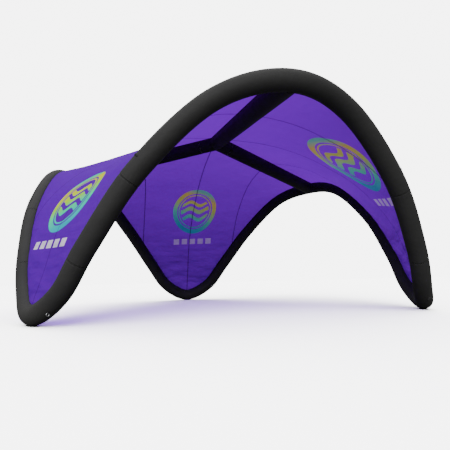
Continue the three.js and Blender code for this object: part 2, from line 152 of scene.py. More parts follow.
def loop_axes(s):
    """Centre, direction, and the two directions across the tube: away from the petal and towards it."""
    s = np.asarray(s, float)
    centre = on_loop(s)
    along = unit(on_loop(s + 2e-3) - on_loop(s - 2e-3))
    low, high = HALF_LEG[0][2], HALF_LEG[-1][2]
    lift = np.radians(LIFT_AT_ARCH_TOP * (centre[..., 2] - low) / (high - low))[..., None]
    radial = unit(centre * np.array([1, 1, 0]))
    outward = radial * np.cos(lift) + np.array([0, 0, 1]) * np.sin(lift)
    outward = unit(outward - along * (outward * along).sum(-1, keepdims=True))
    return centre, along, outward, np.cross(outward, along)


def around_loop(s, degrees):
    centre, along, outward, inward = loop_axes(s)
    angle = np.radians(degrees)
    normal = inward * np.cos(angle)[..., None] + outward * np.sin(angle)[..., None]
    return centre, along, normal


def turned(points, degrees):
    c, s = math.cos(math.radians(degrees)), math.sin(math.radians(degrees))
    return points @ np.array([[c, s, 0], [-s, c, 0], [0, 0, 1]])


# ---------------------------------------------------------------- materials
class Shader:
    """A material's node tree, written as short sums."""

    def __init__(self, name):
        self.material = bpy.data.materials.new(name)
        self.material.use_nodes = True
        self.tree = self.material.node_tree
        self.principled = self.tree.nodes["Principled BSDF"]
        self.output = self.tree.nodes["Material Output"]

    def node(self, kind, **settings):
        made = self.tree.nodes.new("ShaderNode" + kind)
        for key, value in settings.items():
            setattr(made, key, value)
        return made

    def put(self, value, socket):
        if isinstance(value, bpy.types.NodeSocket):
            self.tree.links.new(value, socket)
        else:
            socket.default_value = value

    def math(self, operation, *values, clamp=False):
        made = self.node("Math", operation=operation, use_clamp=clamp)
        for value, socket in zip(values, made.inputs):
            self.put(value, socket)
        return made.outputs[0]

    def below(self, value, edge, soft):
        """1 where value is under edge, and 0 from edge + soft."""
        return self.math("DIVIDE", self.math("SUBTRACT", edge + soft, value), soft, clamp=True)

    def mix(self, factor, a, b):
        made = self.node("Mix", data_type="RGBA")
        self.put(factor, made.inputs["Factor"])
        self.put(a, made.inputs[6])
        self.put(b, made.inputs[7])
        return made.outputs[2]

    def noise(self, vector, scale, detail=3.0, roughness=0.5):
        made = self.node("TexNoise")
        if vector is not None:
            self.put(vector, made.inputs["Vector"])
        made.inputs["Scale"].default_value = scale
        made.inputs["Detail"].default_value = detail
        made.inputs["Roughness"].default_value = roughness
        return made.outputs["Fac"]

    def place(self):
        return self.node("TexCoord").outputs["Object"]

    def uv(self, name):
        split = self.node("SeparateXYZ")
        self.put(self.node("UVMap", uv_map=name).outputs[0], split.inputs[0])
        return split.outputs[0], split.outputs[1]

    def attribute(self, name):
        return self.node("Attribute", attribute_name=name).outputs["Fac"]

    def bumps(self, *layers):
        """Heights in metres, one bump node on another."""
        normal = None
        for height, distance in layers:
            made = self.node("Bump")
            made.inputs["Strength"].default_value = 1.0
            made.inputs["Distance"].default_value = distance
            self.put(height, made.inputs["Height"])
            if normal is not None:
                self.put(normal, made.inputs["Normal"])
            normal = made.outputs[0]
        self.put(normal, self.principled.inputs["Normal"])
        return normal

    def set(self, **values):
        names = {
            "color": "Base Color", "roughness": "Roughness",
            "metallic": "Metallic", "specular": "Specular IOR Level",
        }
        for key, value in values.items():
            self.put(value, self.principled.inputs[names[key]])


def weave(shader, x, y, pitch):
    """Plain weave of a cloth whose threads run along x and y."""
    turn = 2 * math.pi / pitch
    warp = shader.math("SINE", shader.math("MULTIPLY", x, turn))
    weft = shader.math("SINE", shader.math("MULTIPLY", y, turn))
    return shader.math("MULTIPLY", warp, weft)


def tube_cloth():
    shader = Shader("tube_cloth")
    place = shader.place()
    x, y = shader.uv("cloth")
    patches = shader.noise(place, 1.6, 4)
    colour = shader.mix(patches, DARK_GREY, GREY)
    # Dust and scuffs gather on the lowest part of each foot.
    split = shader.node("SeparateXYZ")
    shader.put(place, split.inputs[0])
    low = shader.below(split.outputs[2], 0.05, 0.32)
    specks = shader.math("GREATER_THAN", shader.noise(place, 38, 6, 0.7), 0.61)
    dust = shader.math("MULTIPLY", low, shader.math("MULTIPLY", specks, 0.85))
    colour = shader.mix(dust, colour, (0.004, 0.004, 0.004, 1))
    dried = shader.math("MULTIPLY", low, shader.math("MULTIPLY", shader.noise(place, 9, 5), 0.22))
    colour = shader.mix(dried, colour, (0.075, 0.070, 0.062, 1))
    # A sewn hem, with its row of stitches, on both sides of each cross seam. The black band at the very end
    # is painted shade where the cover tucks into the seam.
    hem = shader.attribute("end")
    fold = shader.below(hem, 0.004, 0.003)
    row = shader.math("ABSOLUTE", shader.math("SUBTRACT", hem, 0.016))
    line = shader.below(row, 0.0012, 0.001)
    step = shader.math("SINE", shader.math("MULTIPLY", y, 2 * math.pi / STITCH))
    stitch = shader.math("GREATER_THAN", step, -0.4)
    thread = shader.math("MULTIPLY", line, stitch)
    # Painted shade: the tucked end of each cover is darkened half way to black.
    colour = shader.mix(shader.math("MULTIPLY", fold, 0.5), colour, PAINTED_FOLD_SHADE)
    colour = shader.mix(shader.math("MULTIPLY", thread, 0.6), colour, (0.055, 0.055, 0.057, 1))
    shader.set(color=colour, specular=0.06)
    shader.set(roughness=shader.math("ADD", 0.50, shader.math("MULTIPLY", patches, 0.16)))
    creases = shader.noise(place, 5.5, 5, 0.55)
    shader.bumps(
        (creases, 0.010),
        (shader.noise(place, 60, 4, 0.6), 0.0010),
        (weave(shader, x, y, 0.0016), 0.00006),
        (thread, 0.0012),
    )
    return shader.material


def emblem(shader):
    """An abstract ring of waves over five short bars: its coloured mask, its white mask, and the colour."""
    x, y = shader.uv("print")
    power = shader.math("ADD", shader.math("MULTIPLY", x, x), shader.math("MULTIPLY", y, y))
    radius = shader.math("SQRT", power)
    ring = shader.below(shader.math("ABSOLUTE", shader.math("SUBTRACT", radius, 0.445)), 0.045, 0.006)
    thin = shader.below(shader.math("ABSOLUTE", shader.math("SUBTRACT", radius, 0.36)), 0.010, 0.005)
    swell = shader.math("SINE", shader.math("MULTIPLY", x, 2 * math.pi / 0.42))
    swell = shader.math("MULTIPLY", swell, 0.045)
    inside = shader.below(radius, 0.315, 0.006)
    waves = 0.0
    for offset, half in ((0.17, 0.036), (0.02, 0.046), (-0.15, 0.040)):
        away = shader.math("ABSOLUTE", shader.math("SUBTRACT", shader.math("SUBTRACT", y, swell), offset))
        waves = shader.math("MAXIMUM", waves, shader.below(away, half, 0.006))
    waves = shader.math("MULTIPLY", waves, inside)
    coloured = shader.math("MAXIMUM", shader.math("MAXIMUM", ring, thin), waves)
    # Five short bars under the ring.
    share = shader.math("FRACT", shader.math("ADD", shader.math("DIVIDE", x, BAR_PITCH), 0.5))
    bar = shader.below(shader.math("ABSOLUTE", shader.math("SUBTRACT", share, 0.5)), 0.33, 0.03)
    row = shader.below(shader.math("ABSOLUTE", shader.math("ADD", y, BARS_BELOW)), 0.052, 0.006)
    wide = shader.below(shader.math("ABSOLUTE", x), 2.5 * BAR_PITCH - 0.001, 0.001)
    white = shader.math("MULTIPLY", shader.math("MULTIPLY", bar, row), wide)
    ramp = shader.node("ValToRGB")
    slope = shader.math("ADD", shader.math("MULTIPLY", y, 0.95), shader.math("MULTIPLY", x, -0.35))
    shader.put(shader.math("ADD", slope, 0.5), ramp.inputs[0])
    elements = ramp.color_ramp.elements
    elements[0].position, elements[0].color = 0.05, (0.02, 0.36, 0.44, 1)
    elements[1].position, elements[1].color = 0.95, (0.10, 0.50, 0.30, 1)
    middle = ((0.35, (0.07, 0.62, 0.33, 1)), (0.62, (0.45, 0.62, 0.04, 1)), (0.8, (0.56, 0.50, 0.03, 1)))
    for position, shade in middle:
        elements.new(position).color = shade
    return coloured, white, ramp.outputs[0]


def petal_cloth():
    shader = Shader("petal_cloth")
    place = shader.place()
    x, y = shader.uv("cloth")
    tone = shader.noise(place, 0.9, 3)
    colour = shader.mix(tone, (0.098, 0.0003, 0.335, 1), (0.128, 0.0003, 0.420, 1))
    inner = shader.attribute("inner")
    coloured, white, paint = emblem(shader)
    through = shader.math("SUBTRACT", 1.0, shader.math("MULTIPLY", inner, 0.42))
    vivid = shader.node("HueSaturation")
    vivid.inputs["Saturation"].default_value = 1.2
    vivid.inputs["Value"].default_value = 1.3
    shader.put(paint, vivid.inputs["Color"])
    colour = shader.mix(shader.math("MULTIPLY", coloured, through), colour, vivid.outputs[0])
    colour = shader.mix(shader.math("MULTIPLY", white, through), colour, (0.80, 0.76, 0.86, 1))
    # Light that comes through: the print shows weakly from below, seams and hems are darker.
    thin_paint = shader.node("Gamma")
    shader.put(paint, thin_paint.inputs["Color"])
    thin_paint.inputs["Gamma"].default_value = 0.42
    lit = shader.mix(shader.math("MULTIPLY", coloured, 0.85), (0.56, 0.003, 1.0, 1), thin_paint.outputs[0])
    lit = shader.mix(shader.math("MULTIPLY", white, 0.8), lit, (0.80, 0.72, 0.95, 1))
    # Each seam's signed distance runs straight across it, so that the line stays sharp between points.
    away = [shader.math("ABSOLUTE", shader.attribute(f"seam_{name}")) for name in ("middle", "a", "b")]
    seam = shader.math("MINIMUM", away[0], shader.math("MINIMUM", away[1], away[2]))
    line = shader.below(seam, 0.0045, 0.004)
    shown = shader.math("ADD", 0.35, shader.math("MULTIPLY", inner, 0.55))
    colour = shader.mix(shader.math("MULTIPLY", line, shown), colour, (0.012, 0.002, 0.05, 1))
    lit = shader.mix(shader.math("MULTIPLY", line, 0.9), lit, (0.08, 0.004, 0.16, 1))
    edge = shader.attribute("edge")
    hem = shader.below(edge, 0.020, 0.003)
    colour = shader.mix(hem, colour, HEM)
    lit = shader.mix(hem, lit, HEM)
    beside = shader.math("ABSOLUTE", shader.math("SUBTRACT", seam, 0.012))
    stitches = shader.below(beside, 0.001, 0.001)
    shader.set(color=colour, specular=0.03)
    crumple = shader.noise(place, 3.4, 5, 0.55)
    # Short creases lie across the cloth, most of them near the foot.
    flat = shader.node("Mapping")
    flat.inputs["Scale"].default_value = (1.0, 1.0, 3.4)
    shader.put(place, flat.inputs["Vector"])
    height = shader.node("SeparateXYZ")
    shader.put(place, height.inputs[0])
    near_foot = shader.math("ADD", shader.below(height.outputs[2], 0.5, 1.4), 0.25)
    crease = shader.math("POWER", shader.noise(flat.outputs[0], 1.3, 2, 0.4), 2.0)
    crease = shader.math("MULTIPLY", crease, near_foot)
    shader.set(roughness=shader.math("ADD", 0.46, shader.math("MULTIPLY", crumple, 0.18)))
    # The raised threads of ripstop cloth, 6 mm apart both ways.
    threads = []
    for across in (x, y):
        wave = shader.math("COSINE", shader.math("MULTIPLY", across, math.pi / 0.006))
        threads.append(shader.math("POWER", shader.math("ABSOLUTE", wave), 14))
    grid = shader.math("MAXIMUM", *threads)
    normal = shader.bumps(
        (crumple, 0.022),
        (crease, 0.110),
        (shader.noise(place, 16, 4, 0.6), 0.0020),
        (grid, 0.00016),
        (shader.math("SUBTRACT", 1.0, shader.below(seam, 0.016, 0.004)), 0.0025),
        (stitches, -0.0010),
    )
    glow = shader.node("BsdfTranslucent")
    shader.put(lit, glow.inputs["Color"])
    shader.put(normal, glow.inputs["Normal"])
    both = shader.node("MixShader")
    shader.put(shader.math("ADD", 0.42, shader.math("MULTIPLY", inner, 0.23)), both.inputs[0])
    shader.put(shader.principled.outputs[0], both.inputs[1])
    shader.put(glow.outputs[0], both.inputs[2])
    shader.put(both.outputs[0], shader.output.inputs["Surface"])
    return shader.material


def moulded(name, light, dark, roughness):
    shader = Shader(name)
    place = shader.place()
    speckle = shader.noise(place, 420, 3)
    shader.set(color=shader.mix(speckle, dark, light), specular=0.4)
    worn = shader.math("MULTIPLY", shader.noise(place, 90, 4), 0.18)
    shader.set(roughness=shader.math("ADD", roughness, worn))
    shader.bumps((speckle, 0.00012))
    return shader.material


def webbing():
    shader = Shader("webbing")
    place = shader.place()
    x, y = shader.uv("cloth")
    ribs = weave(shader, x, y, 0.0022)
    tone = shader.math("MULTIPLY", shader.math("ADD", ribs, 1.0), 0.5)
    shader.set(color=shader.mix(tone, (0.003, 0.003, 0.003, 1), (0.014, 0.014, 0.0145, 1)))
    shader.set(roughness=0.82, specular=0.2)
    shader.bumps((tone, 0.0004), (shader.noise(place, 300, 3), 0.0002))
    return shader.material


def ring_steel():
    shader = Shader("ring_steel")
    place = shader.place()
    scratches = shader.noise(place, 700, 4, 0.7)
    shader.set(color=shader.mix(scratches, (0.50, 0.51, 0.53, 1), (0.68, 0.69, 0.71, 1)), metallic=1.0)
    shader.set(roughness=shader.math("ADD", 0.20, shader.math("MULTIPLY", scratches, 0.22)))
    shader.bumps((scratches, 0.00006))
    return shader.material


def film():
    shader = Shader("bladder_film")
    place = shader.place()
    haze = shader.noise(place, 7, 5)
    shader.set(color=shader.mix(haze, (0.52, 0.54, 0.56, 1), (0.66, 0.68, 0.70, 1)))
    shader.set(roughness=shader.math("ADD", 0.24, shader.math("MULTIPLY", haze, 0.2)))
    shader.bumps((shader.noise(place, 30, 4), 0.002))
    return shader.material


def sole():
    shader = Shader("sole_rubber")
    place = shader.place()
    grain = shader.noise(place, 260, 5, 0.65)
    shader.set(color=shader.mix(grain, (0.010, 0.010, 0.010, 1), (0.030, 0.029, 0.028, 1)), roughness=0.85)
    split = shader.node("SeparateXYZ")
    shader.put(place, split.inputs[0])
    tread = shader.math("SINE", shader.math("MULTIPLY", split.outputs[0], 2 * math.pi / 0.012))
    shader.bumps((tread, 0.0008), (grain, 0.0003))
    return shader.material


LOOK = {
    "tube_cloth": tube_cloth(),
    "petal_cloth": petal_cloth(),
    "bladder_film": film(),
    "sole_rubber": sole(),
    "valve_plastic": moulded("valve_plastic", (0.030, 0.030, 0.031, 1), (0.012, 0.012, 0.012, 1), 0.34),
    "plunger_plastic": moulded("plunger_plastic", (0.36, 0.37, 0.38, 1), (0.27, 0.28, 0.29, 1), 0.36),
    "webbing": webbing(),
    "ring_steel": ring_steel(),
}


# ---------------------------------------------------------------- pieces
def make_piece(name, points, faces, look, body, nodes=(), uvs=None, values=None):
    """A smooth mesh piece. uvs: name to one pair per face corner; values: name to one number per point."""
    mesh = bpy.data.meshes.new(name)
    mesh.from_pydata([tuple(map(float, p)) for p in points], [], [tuple(map(int, f)) for f in faces])
    for key, pairs in (uvs or {}).items():
        mesh.uv_layers.new(name=key).data.foreach_set("uv", np.asarray(pairs, float).ravel())
    for key, numbers in (values or {}).items():
        data = mesh.attributes.new(key, "FLOAT", "POINT").data
        data.foreach_set("value", np.asarray(numbers, float).ravel())
    mesh.polygons.foreach_set("use_smooth", [True] * len(mesh.polygons))
    mesh.materials.append(LOOK[look])
    mesh.update()
    piece = bpy.data.objects.new(name, mesh)
    bpy.context.collection.objects.link(piece)
    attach(piece, body)
    if nodes:
        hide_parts(*nodes)
    return piece


def strip_faces(rows, columns, closed):
    """Quads of a grid of rows x columns points, as indices and as (row, column) corners that don't wrap."""
    last = columns if closed else columns - 1
    i, j = np.meshgrid(np.arange(rows - 1), np.arange(last), indexing="ij")
    i, j = i.ravel(), j.ravel()
    corners = np.stack([np.stack(pair, 1) for pair in ((i, j), (i, j + 1), (i + 1, j + 1), (i + 1, j))], 1)
    faces = corners[..., 0] * columns + corners[..., 1] % columns
    return faces, corners


def ripple(*phases):
    """A smooth, even-looking unevenness between -1 and 1."""
    total = 0.0
    for k, (x, step) in enumerate(phases):
        total = total + np.sin(x * step + 1.7 * k) * np.cos(x * step * 0.37 + 0.9 * k)
    return total / len(phases)


SIDES, ARM_SIDES = 72, 64


def end_profile(stations, start, end):
    """How far each station is from the nearer end, and how much the cover is drawn in there."""
    distance = np.minimum(stations - start, end - stations)
    drawn_in = 0.0022 * np.exp(-((distance / 0.022) ** 2))
    drawn_in -= 0.0010 * np.exp(-(((distance - 0.016) / 0.006) ** 2))
    tuck = 0.005 * np.clip(1 - distance / 0.004, 0, 1) ** 2
    return distance, drawn_in + tuck


def stations_between(start, end, spacing):
    """Closely spaced near both ends, then every spacing."""
    near = np.array([0, 0.001, 0.002, 0.004, 0.007, 0.011, 0.016, 0.021, 0.027, 0.035, 0.05, 0.07])
    count = max(2, int(round((end - start - 0.2) / spacing)))
    return np.concatenate([start + near, np.linspace(start + 0.1, end - 0.1, count), (end - near)[::-1]])


def cover(name, axes_at, start, end, radius, node, azimuth, puckers=None):
    stations = stations_between(start, end, 0.035)
    distance, drawn_in = end_profile(stations, start, end)
    angles = np.arange(SIDES) * 2 * np.pi / SIDES
    centre, outward, inward = axes_at(stations)
    a = angles[None, :]
    reach = np.full((len(stations), SIDES), radius) - drawn_in[:, None]
    reach += 0.0012 * np.sin(17 * a + 3 * np.sin(stations[:, None] * 5)) * np.exp(-distance[:, None] / 0.07)
    slow, quick = stations[:, None] + 0.2 * np.sin(a), stations[:, None] - 0.15 * np.cos(2 * a)
    reach += 0.0011 * ripple((slow, 4.1), (quick, 7.3))
    if puckers is not None:
        reach += puckers(stations[:, None], a)
    # The cover never sinks into the bladder under it.
    reach = np.maximum(reach, radius - 0.0045)
    points = centre[:, None] + reach[..., None] * (
        inward[:, None] * np.cos(a)[..., None] + outward[:, None] * np.sin(a)[..., None]
    )
    flat = turned(points.reshape(-1, 3), azimuth)
    # The foot spreads a little where it rests.
    flat[:, 2] = np.maximum(flat[:, 2], FLOOR_OF_SLEEVE)
    faces, corners = strip_faces(len(stations), SIDES, True)
    along = stations[corners[..., 0]]
    across = corners[..., 1] * (2 * np.pi / SIDES) * radius
    return make_piece(
        name, flat, faces[:, ::-1], "tube_cloth", "canopy", [node],
        uvs={"cloth": np.stack([along, across], -1)[:, ::-1]},
        values={"end": np.repeat(distance, SIDES)},
    )


def loop_cover(name, from_s, to_s, node, azimuth):
    gap = 0.0003

    def axes_at(stations):
        centre, _, outward, inward = loop_axes(stations / HALF_LENGTH)
        return centre, outward, inward

    def puckers(stations, angle):
        # Cloth gathers on the inside of the foot's tight bend, and beside the sewn edge of the petal.
        s = stations / HALF_LENGTH
        tight = np.exp(-((s / 0.13) ** 4))
        fold = 0.0042 + 0.0022 * np.sin(stations * 2 * np.pi / 0.075)
        gather = tight * np.clip(np.cos(angle), 0, 1) ** 2 * fold
        beside = np.exp(-(((np.mod(angle + np.pi, 2 * np.pi) - np.pi) / 0.45) ** 2))
        return gather + 0.0010 * beside * np.sin(stations * 2 * np.pi / 0.11 + 2 * np.sin(stations * 3.1))

    start, end = from_s * HALF_LENGTH + gap, to_s * HALF_LENGTH - gap
    return cover(name, axes_at, start, end, TUBE_RADIUS - COVER_IN, node, azimuth, puckers)


APEX = on_loop(1.0)
HUB = np.array([0, 0, HUB_HEIGHT])
RIDGE_DIRECTION = unit(APEX - HUB)
RIDGE_LENGTH = float(np.linalg.norm(APEX - HUB))


def ridge_cover(name, node, azimuth):
    side = np.array([math.cos(math.radians(-30)), math.sin(math.radians(-30)), 0])
    up = np.cross(side, RIDGE_DIRECTION)

    def axes_at(stations):
        count = len(stations)
        return HUB + stations[:, None] * RIDGE_DIRECTION, np.tile(up, (count, 1)), np.tile(side, (count, 1))

    start, end = HUB_ARM + 0.0004, RIDGE_LENGTH - 0.02
    return cover(name, axes_at, start, end, RIDGE_RADIUS - COVER_IN, node, azimuth)


def hub_cover():
    """Three short arms grown together, then smoothed where they meet."""
    points, faces = [], []
    arms = [turned(RIDGE_DIRECTION, azimuth) for azimuth in LEG_AZIMUTH.values()]
    steps = np.array([-0.05, 0.0, 0.08, 0.16, 0.24, 0.29, 0.31, 0.322, HUB_ARM - 0.0006])
    _, drawn_in = end_profile(steps, -5.0, HUB_ARM)
    for arm in arms:
        side = unit(np.cross(arm, [0, 0, 1]))
        up = np.cross(side, arm)
        base = len(points)
        for step, pull in zip(steps, drawn_in):
            for k in range(ARM_SIDES):
                angle = 2 * np.pi * k / ARM_SIDES
                reach = RIDGE_RADIUS - COVER_IN - pull
                points.append(HUB + arm * step + reach * (side * math.cos(angle) + up * math.sin(angle)))
        for i in range(len(steps) - 1):
            for k in range(ARM_SIDES):
                a, b = base + i * ARM_SIDES + k, base + i * ARM_SIDES + (k + 1) % ARM_SIDES
                faces.append((a, b, b + ARM_SIDES, a + ARM_SIDES))
        faces.append(tuple(base + k for k in reversed(range(ARM_SIDES))))
        faces.append(tuple(base + (len(steps) - 1) * ARM_SIDES + k for k in range(ARM_SIDES)))
    mesh = bpy.data.meshes.new("hub_arms")
    mesh.from_pydata([tuple(map(float, p)) for p in points], [], faces)
    rough = bpy.data.objects.new("hub_arms", mesh)
    bpy.context.collection.objects.link(rough)
    remesh = rough.modifiers.new("grow", "REMESH")
    remesh.mode = "VOXEL"
    remesh.voxel_size = 0.006
    smooth = rough.modifiers.new("smooth", "SMOOTH")
    smooth.factor = 0.5
    smooth.iterations = 10
    graph = bpy.context.evaluated_depsgraph_get()
    whole = bpy.data.meshes.new_from_object(rough.evaluated_get(graph))
    bpy.data.objects.remove(rough)
    where = np.array([v.co[:] for v in whole.vertices])
    quads = [tuple(p.vertices) for p in whole.polygons]
    bpy.data.meshes.remove(whole)
    ahead = np.stack([(where - HUB) @ arm for arm in arms], 1)
    nearest = ahead.argmax(1)
    along = ahead[np.arange(len(where)), nearest]
    across = np.zeros(len(where))
    for k, arm in enumerate(arms):
        side = unit(np.cross(arm, [0, 0, 1]))
        up = np.cross(side, arm)
        mine = nearest == k
        off = where[mine] - HUB
        across[mine] = np.arctan2(off @ up, off @ side) * RIDGE_RADIUS
    corners = np.concatenate([np.array(q) for q in quads])
    make_piece(
        "hub_cover", where, quads, "tube_cloth", "canopy", ["hub_sleeve"],
        uvs={"cloth": np.stack([along[corners], across[corners]], -1)},
        values={"end": np.maximum(HUB_ARM - along, 0.0)},
    )


# ---------------------------------------------------------------- petals
TUCK = -0.008
EDGE_SIDE = np.array([math.cos(math.radians(-30)), math.sin(math.radians(-30)), 0])
EDGE_UP = unit(np.cross(EDGE_SIDE, RIDGE_DIRECTION))
EDGE_OFFSET = (RIDGE_RADIUS + TUCK) * (
    EDGE_SIDE * math.sin(math.radians(RIDGE_EDGE_ANGLE)) + EDGE_UP * math.cos(math.radians(RIDGE_EDGE_ANGLE))
)
LAST_ON_LEG = 1 - (RIDGE_RADIUS + TUCK) * math.sin(math.radians(RIDGE_EDGE_ANGLE)) / HALF_LENGTH
DOME_CENTRE = np.array([0, 0, 0.7])
MIRROR = np.array([1, -1, 1])


def leg_edge(t):
    s = np.asarray(t, float) * LAST_ON_LEG
    climb = np.maximum(0, (s - EDGE_ANGLE_START) / (1 - EDGE_ANGLE_START)) ** EDGE_ANGLE_POWER
    centre, _, normal = around_loop(s, APEX_EDGE_ANGLE * climb)
    edge = centre + (TUBE_RADIUS - COVER_IN + TUCK) * normal
    return edge + CORNER_SHIFT * (np.asarray(t, float) ** 24)[..., None]


# The corner at the arch top moves onto the ridge tube, so that no gap shows beside it.
CORNER_SHIFT = np.zeros(3)
from_hub = leg_edge(1.0) - HUB
from_axis = from_hub - (from_hub @ RIDGE_DIRECTION) * RIDGE_DIRECTION
CORNER_SHIFT = from_axis * ((RIDGE_RADIUS + TUCK) / np.linalg.norm(from_axis) - 1)
FOOT_CORNER = leg_edge(0.0)
ARCH_CORNER = leg_edge(1.0)
HUB_CORNER = HUB + RIDGE_DIRECTION * (-EDGE_OFFSET[1] / RIDGE_DIRECTION[1]) + EDGE_OFFSET


def ridge_edge(t):
    return ARCH_CORNER + (HUB_CORNER - ARCH_CORNER) * np.asarray(t, float)[..., None]


def petal_point(u, v):
    """The petal over the leg on +X: u runs along the tube on its +Y side, v along the one on its -Y side."""
    a, b = np.asarray(u, float)[..., None], np.asarray(v, float)[..., None]
    point = (1 - b) * leg_edge(u) + b * ridge_edge(u) * MIRROR
    point = point + (1 - a) * leg_edge(v) * MIRROR + a * ridge_edge(v)
    point = point - (1 - a) * (1 - b) * FOOT_CORNER - a * (1 - b) * ARCH_CORNER
    point = point - (1 - a) * b * ARCH_CORNER * MIRROR - a * b * HUB_CORNER
    total = a + b
    half = np.maximum(np.minimum(total, 2 - total), 1e-6)
    across = np.clip(1 - ((a - b) / half) ** 2, 0, 1)
    depth = np.where(total < 1, LOW_BULGE, HIGH_DIP)
    return point + unit(point - DOME_CENTRE) * depth * np.sin(np.pi * total) * across


def metric_distance(value, slope_u, slope_v, pu, pv):
    """value / |gradient of value| on the surface, in metres."""
    e, f, g = (pu * pu).sum(-1), (pu * pv).sum(-1), (pv * pv).sum(-1)
    area = np.maximum(e * g - f * f, 1e-9)
    steep = (slope_u**2 * g - 2 * slope_u * slope_v * f + slope_v**2 * e) / area
    return value / np.sqrt(np.maximum(steep, 1e-9))


# Where each petal's print sits in the frame of its leg: the ring's middle, the bars' middle, and its width.
PRINT_AT = {
    "rear": ((2.435, -0.038, 2.316), (3.039, -0.082, 1.584), 1.15),
    "right": ((2.466, -0.832, 2.439), (2.914, -0.633, 1.707), 1.20),
    "left": ((3.141, -0.085, 1.803), (3.269, -0.103, 1.095), 1.25),
}
GRID = 110


def petal(leg, azimuth):
    ticks = np.linspace(0, 1, GRID + 1)
    u, v = np.meshgrid(ticks, ticks, indexing="ij")
    point = petal_point(u, v)
    step = 1e-3
    (u0, u1), (v0, v1) = ((np.maximum(w - step, 0), np.minimum(w + step, 1)) for w in (u, v))
    pu = (petal_point(u1, v) - petal_point(u0, v)) / (u1 - u0)[..., None]
    pv = (petal_point(u, v1) - petal_point(u, v0)) / (v1 - v0)[..., None]
    out = np.cross(pu, pv)
    out = out * np.sign((out * (point - DOME_CENTRE)).sum(-1, keepdims=True))
    out = out / np.maximum(np.linalg.norm(out, axis=-1, keepdims=True), 1e-9)
    middle = metric_distance(u - v, 1.0, -1.0, pu, pv)
    slope_leg, slope_ridge = 1 / (1 - LEG_SEAM_AT), -1 / RIDGE_SEAM_AT
    side_a = metric_distance((u - LEG_SEAM_AT) * slope_leg + v * slope_ridge, slope_leg, slope_ridge, pu, pv)
    side_b = metric_distance((v - LEG_SEAM_AT) * slope_leg + u * slope_ridge, slope_ridge, slope_leg, pu, pv)
    seam = np.minimum(np.abs(middle), np.minimum(np.abs(side_a), np.abs(side_b)))
    on_leg = np.minimum(metric_distance(u, 1.0, 0.0, pu, pv), metric_distance(v, 0.0, 1.0, pu, pv))
    on_ridge = np.minimum(metric_distance(1 - u, 1.0, 0.0, pu, pv), metric_distance(1 - v, 0.0, 1.0, pu, pv))
    edge = np.minimum(on_leg, on_ridge)
    # Small puckers run in from the sewn edges, and the seams draw the cloth in a little.
    run = np.where(u < v, v, u) * HALF_LENGTH
    pull = np.sin(run * 2 * np.pi / 0.26 + 2.2 * np.sin(run * 1.7))
    pull += 0.6 * np.sin(run * 2 * np.pi / 0.15 + 1.0)
    wave = 0.0030 * pull * np.exp(-edge / 0.16) * (1 - np.exp(-edge / 0.03))
    px, py, pz = (point[..., k] for k in range(3))
    drift = 0.006 * np.sin(px * 2.1 + pz * 3.0) * np.sin(py * 2.7 - pz * 1.9)
    drift = drift * (1 - np.exp(-((edge / 0.35) ** 2)))
    valley = -0.005 * np.exp(-((seam / 0.09) ** 2)) * (1 - np.exp(-edge / 0.05))
    point = point + out * (wave + drift + valley)[..., None]
    thickness = 0.0012
    count = (GRID + 1) ** 2
    outside = (point + out * thickness / 2).reshape(-1, 3)
    inside = (point - out * thickness / 2).reshape(-1, 3)
    faces, corners = strip_faces(GRID + 1, GRID + 1, False)
    rim = [(i, i + 1) for i in range(GRID)]
    side = GRID + 1
    rim += [(side * (i + 1) - 1, side * (i + 2) - 1) for i in range(GRID)]
    rim += [(count - 1 - i, count - 2 - i) for i in range(GRID)]
    rim += [(side * (GRID - i), side * (GRID - i - 1)) for i in range(GRID)]
    walls = np.array([(b, a, a + count, b + count) for a, b in rim])
    every = np.concatenate([faces, faces[:, [0, 3, 2, 1]] + count, walls])
    # Coordinates of the cloth and of the print, flat on a plane through the print.
    ring, bars, width = (np.array(p) for p in PRINT_AT[leg])
    down = unit(bars - ring)
    stretch = np.linalg.norm(bars - ring) / BARS_BELOW
    facing = unit(ring - DOME_CENTRE)
    facing = unit(facing - down * (facing @ down))
    rightward = np.cross(-down, facing)
    both = np.concatenate([outside, inside])
    off = both - ring
    stamp = np.stack([off @ rightward / width, -(off @ down) / stretch], -1)
    cloth = np.stack([u * 4.6, v * 4.6], -1).reshape(-1, 2)
    cloth = np.concatenate([cloth, cloth])
    piece = make_piece(
        f"petal_{leg}", turned(both, azimuth), every, "petal_cloth", "canopy",
        [f"canopy_{leg}_{part}" for part in ("centre_a", "centre_b", "shoulder_a", "shoulder_b")],
        uvs={"cloth": cloth[every.ravel()], "print": stamp[every.ravel()]},
        values={
            "seam_middle": np.tile(middle.ravel(), 2),
            "seam_a": np.tile(side_a.ravel(), 2),
            "seam_b": np.tile(side_b.ravel(), 2),
            "edge": np.tile(edge.ravel(), 2),
            "inner": np.repeat([0.0, 1.0], count),
        },
    )
    cell = np.cross(point[1:, :-1] - point[:-1, :-1], point[:-1, 1:] - point[:-1, :-1])
    other = np.cross(point[1:, :-1] - point[1:, 1:], point[:-1, 1:] - point[1:, 1:])
    area = float(np.linalg.norm(cell, axis=-1).sum() + np.linalg.norm(other, axis=-1).sum()) / 2
    length = float(np.linalg.norm(np.diff(petal_point(ticks, ticks), axis=0), axis=1).sum())
    width = float(np.linalg.norm(np.diff(petal_point(ticks, 1 - ticks), axis=0), axis=1).sum())
    area = min(area, width * length)
    width, length, area = round(width, 3), round(length, 3), round(area, 3)
    return width, length, area


# ---------------------------------------------------------------- fittings
def surface_frame(s, degrees, lift, azimuth):
    """Origin on the tube, and axes: along it, across it, out of it."""
    centre, along, normal = around_loop(np.array(s), np.array(float(degrees)))
    origin = centre + normal * (TUBE_RADIUS + lift)
    x = unit(along - normal * (along @ normal))
    return tuple(turned(p, azimuth) for p in (origin, x, np.cross(normal, x), normal))


